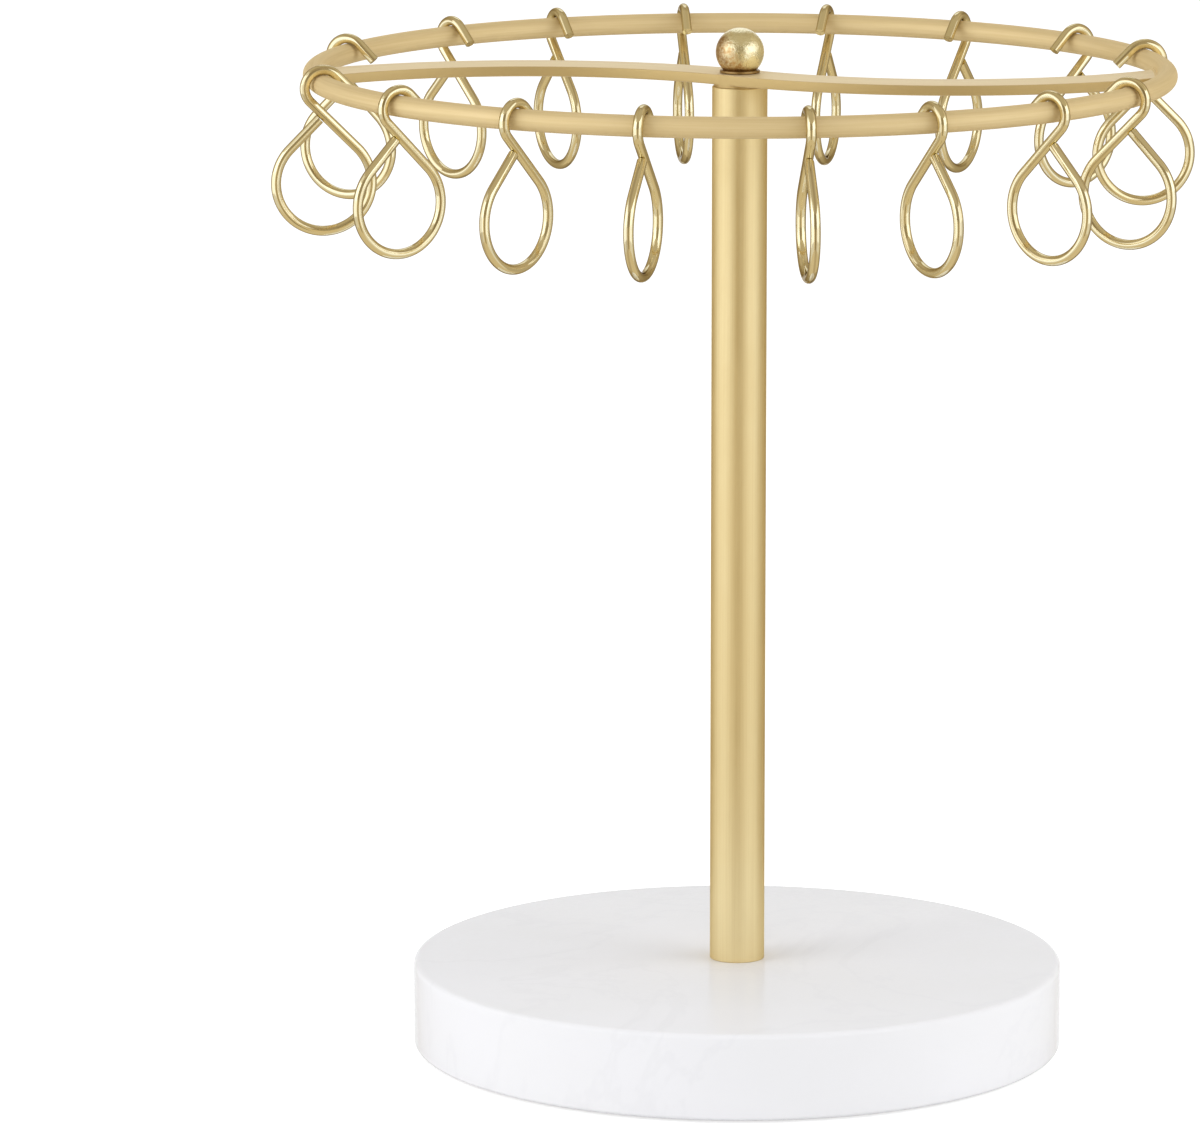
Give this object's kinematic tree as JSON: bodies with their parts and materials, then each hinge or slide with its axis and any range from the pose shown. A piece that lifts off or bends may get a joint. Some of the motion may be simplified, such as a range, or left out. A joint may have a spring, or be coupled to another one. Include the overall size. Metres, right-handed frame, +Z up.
{
  "type": "rotating hair clip organizer",
  "caption": "Free-standing organizer for hair claw clips: a weighted disc base, one post, and a spinning ring with loose wire loop hooks.",
  "frame": {"origin": "centre of the pad's face that stands on the table, under the post's axis", "axes": "+Z up along the post, -Y towards the viewer in the picture, +X to the viewer's right"},
  "size_m": [0.2118, 0.217, 0.2387],
  "materials": {
    "base_stone": "polished white stone",
    "pad_foam": "matt foam",
    "zinc_steel": "zinc plated",
    "satin_gold": "satin champagne gold plating",
    "bush_bronze": "sintered bronze",
    "washer_brass": "satin",
    "aged_brass": "brushed, aged",
    "hook_brass": "bright drawn wire"
  },
  "bodies": {
    "stand": {"base_disc": "base_stone", "base_pad": "pad_foam", "base_screw": "zinc_steel", "base_washer": "zinc_steel", "post_tube": "satin_gold", "post_foot_plug": "zinc_steel", "post_top_plug": "zinc_steel", "pivot_stud": "zinc_steel", "cap_washer": "washer_brass", "ball_finial": "aged_brass"},
    "carousel": {"crossbar": "satin_gold", "ring": "satin_gold", "pivot_bush": "bush_bronze"},
    "hook_01": {"hook_01": "hook_brass"},
    "hook_02": {"hook_02": "hook_brass"},
    "hook_03": {"hook_03": "hook_brass"},
    "hook_04": {"hook_04": "hook_brass"},
    "hook_05": {"hook_05": "hook_brass"},
    "hook_06": {"hook_06": "hook_brass"},
    "hook_07": {"hook_07": "hook_brass"},
    "hook_08": {"hook_08": "hook_brass"},
    "hook_09": {"hook_09": "hook_brass"},
    "hook_10": {"hook_10": "hook_brass"},
    "hook_11": {"hook_11": "hook_brass"},
    "hook_12": {"hook_12": "hook_brass"},
    "hook_13": {"hook_13": "hook_brass"},
    "hook_14": {"hook_14": "hook_brass"},
    "hook_15": {"hook_15": "hook_brass"},
    "hook_16": {"hook_16": "hook_brass"}
  },
  "joints": [
    {"name": "ring_spin", "type": "hinge", "parent": "stand", "child": "carousel", "pos_m": [0, 0, 0.226], "axis": [0, 0, 1], "continuous": true},
    {"name": "hook_01_swing", "type": "hinge", "parent": "carousel", "child": "hook_01", "pos_m": [-0.09405, -0.02608, 0.2284], "axis": [0.2672, -0.9636, 0], "range_deg": [-60, 60]},
    {"name": "hook_02_swing", "type": "hinge", "parent": "carousel", "child": "hook_02", "pos_m": [-0.07541, -0.06197, 0.2284], "axis": [0.6349, -0.7726, 0], "range_deg": [-60, 60]},
    {"name": "hook_03_swing", "type": "hinge", "parent": "carousel", "child": "hook_03", "pos_m": [-0.04881, -0.08452, 0.2284], "axis": [0.866, -0.5001, 0], "range_deg": [-60, 60]},
    {"name": "hook_04_swing", "type": "hinge", "parent": "carousel", "child": "hook_04", "pos_m": [-0.0209, -0.09533, 0.2284], "axis": [0.9768, -0.2142, 0], "range_deg": [-60, 60]},
    {"name": "hook_05_swing", "type": "hinge", "parent": "carousel", "child": "hook_05", "pos_m": [0.01493, -0.09645, 0.2284], "axis": [0.9882, 0.153, 0], "range_deg": [-60, 60]},
    {"name": "hook_06_swing", "type": "hinge", "parent": "carousel", "child": "hook_06", "pos_m": [0.04196, -0.08812, 0.2284], "axis": [0.9029, 0.4299, 0], "range_deg": [-60, 60]},
    {"name": "hook_07_swing", "type": "hinge", "parent": "carousel", "child": "hook_07", "pos_m": [0.06837, -0.06965, 0.2284], "axis": [0.7136, 0.7006, 0], "range_deg": [-60, 60]},
    {"name": "hook_08_swing", "type": "hinge", "parent": "carousel", "child": "hook_08", "pos_m": [0.08673, -0.04476, 0.2284], "axis": [0.4587, 0.8886, 0], "range_deg": [-60, 60]},
    {"name": "hook_09_swing", "type": "hinge", "parent": "carousel", "child": "hook_09", "pos_m": [0.09391, 0.02657, 0.2284], "axis": [-0.2723, 0.9622, 0], "range_deg": [-60, 60]},
    {"name": "hook_10_swing", "type": "hinge", "parent": "carousel", "child": "hook_10", "pos_m": [0.07927, 0.05693, 0.2284], "axis": [-0.5833, 0.8122, 0], "range_deg": [-60, 60]},
    {"name": "hook_11_swing", "type": "hinge", "parent": "carousel", "child": "hook_11", "pos_m": [0.05256, 0.08224, 0.2284], "axis": [-0.8426, 0.5386, 0], "range_deg": [-60, 60]},
    {"name": "hook_12_swing", "type": "hinge", "parent": "carousel", "child": "hook_12", "pos_m": [0.02078, 0.09536, 0.2284], "axis": [-0.9771, 0.2129, 0], "range_deg": [-60, 60]},
    {"name": "hook_13_swing", "type": "hinge", "parent": "carousel", "child": "hook_13", "pos_m": [-0.01359, 0.09665, 0.2284], "axis": [-0.9903, -0.1393, 0], "range_deg": [-60, 60]},
    {"name": "hook_14_swing", "type": "hinge", "parent": "carousel", "child": "hook_14", "pos_m": [-0.04379, 0.08722, 0.2284], "axis": [-0.8937, -0.4487, 0], "range_deg": [-60, 60]},
    {"name": "hook_15_swing", "type": "hinge", "parent": "carousel", "child": "hook_15", "pos_m": [-0.0684, 0.06962, 0.2284], "axis": [-0.7133, -0.7008, 0], "range_deg": [-60, 60]},
    {"name": "hook_16_swing", "type": "hinge", "parent": "carousel", "child": "hook_16", "pos_m": [-0.09154, 0.03384, 0.2284], "axis": [-0.3468, -0.9379, 0], "range_deg": [-60, 60]}
  ]
}
